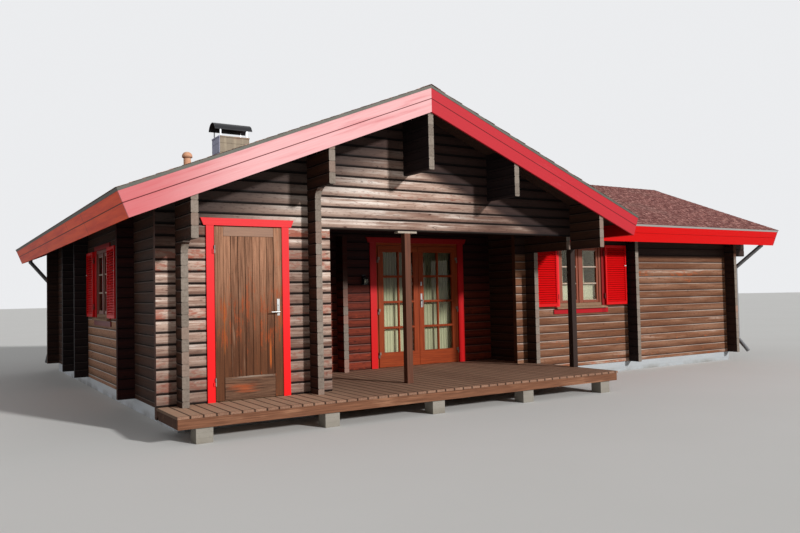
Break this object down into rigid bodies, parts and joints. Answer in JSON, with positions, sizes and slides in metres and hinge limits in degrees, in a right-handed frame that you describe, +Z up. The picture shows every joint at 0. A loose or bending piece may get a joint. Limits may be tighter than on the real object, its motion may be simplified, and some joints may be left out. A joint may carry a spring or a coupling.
{
  "type": "log cabin",
  "caption": "Single-storey crossed-log holiday cabin with a gabled front, recessed porch, store room, lower side wing, deck, hinged doors and louvred shutters.",
  "frame": {"origin": "centre of the cabin's outline box on the ground", "axes": "+Z up, the gabled front faces -Y, the wing runs along +X"},
  "size_m": [13.0138, 10.57, 4.9299],
  "materials": {
    "brown_sheet": "matt",
    "clay": "fired",
    "cloth": "net",
    "concrete": "rough",
    "deck": "weathered boards",
    "floor_wood": "planed boards",
    "glass": "clear",
    "grey_sheet": "matt",
    "log": "weathered dark stain",
    "orange_wood": "worn stain",
    "red_wood": "faded paint",
    "roof_wood": "stained boards",
    "sheet": "matt",
    "shingle": "mineral grains",
    "steel": "satin"
  },
  "bodies": {
    "house": {"foundation": "concrete", "floor": "floor_wood", "deck_frame": "deck", "deck_boards": "deck", "posts": "deck", "store_wall_left": "log", "store_wall_right": "log", "front_gable": "log", "left_wall": "log", "porch_side_wall": "log", "porch_back_wall_left": "log", "porch_back_wall_right": "log", "porch_back_wall_head": "log", "right_wall": "log", "back_walls": "log", "wing_front_wall": "log", "wing_right_wall": "log", "cross_log_ends": "log", "purlins": "log", "roof_panels": "roof_wood", "roof_shingles": "shingle", "barge_boards": "red_wood", "eave_boards": "red_wood", "roof_edging": "grey_sheet", "chimney": "brown_sheet", "chimney_cap": "sheet", "vent_pipe": "clay", "downpipes": "grey_sheet", "door_frames": "orange_wood", "door_trims": "red_wood", "window_frames": "orange_wood", "window_glass": "glass", "window_trims": "red_wood", "curtains": "cloth", "wall_lamp": "sheet"},
    "plank_door": {"plank_door": "orange_wood"},
    "french_leaf_left": {"french_door_left": "orange_wood", "french_glass_left": "glass"},
    "french_leaf_right": {"french_door_right": "orange_wood", "french_glass_right": "glass", "french_door_handle": "steel"},
    "shutter_wing_left": {"wing_shutter_left": "red_wood"},
    "shutter_wing_right": {"wing_shutter_right": "red_wood"},
    "shutter_left_rear": {"left_shutter_rear": "red_wood"},
    "shutter_left_front": {"left_shutter_front": "red_wood"}
  },
  "joints": [
    {"name": "plank_door_hinge", "type": "hinge", "parent": "house", "child": "plank_door", "pos_m": [-5.30413, -4.518, 1.308], "axis": [0, 0, -1], "range_deg": [0, 110]},
    {"name": "french_left_hinge", "type": "hinge", "parent": "house", "child": "french_leaf_left", "pos_m": [-1.94613, -2.502, 1.308], "axis": [0, 0, -1], "range_deg": [0, 105]},
    {"name": "french_right_hinge", "type": "hinge", "parent": "house", "child": "french_leaf_right", "pos_m": [-0.38013, -2.502, 1.308], "axis": [0, 0, 1], "range_deg": [0, 105]},
    {"name": "wing_shutter_left_hinge", "type": "hinge", "parent": "house", "child": "shutter_wing_left", "pos_m": [1.05937, -3.475, 1.75], "axis": [0, 0, 1], "range_deg": [0, 180]},
    {"name": "wing_shutter_right_hinge", "type": "hinge", "parent": "house", "child": "shutter_wing_right", "pos_m": [2.19937, -3.475, 1.75], "axis": [0, 0, -1], "range_deg": [0, 180]},
    {"name": "left_shutter_rear_hinge", "type": "hinge", "parent": "house", "child": "shutter_left_rear", "pos_m": [-5.78313, 0.245, 1.75], "axis": [0, 0, 1], "range_deg": [0, 180]},
    {"name": "left_shutter_front_hinge", "type": "hinge", "parent": "house", "child": "shutter_left_front", "pos_m": [-5.78313, -0.895, 1.75], "axis": [0, 0, -1], "range_deg": [0, 180]}
  ]
}
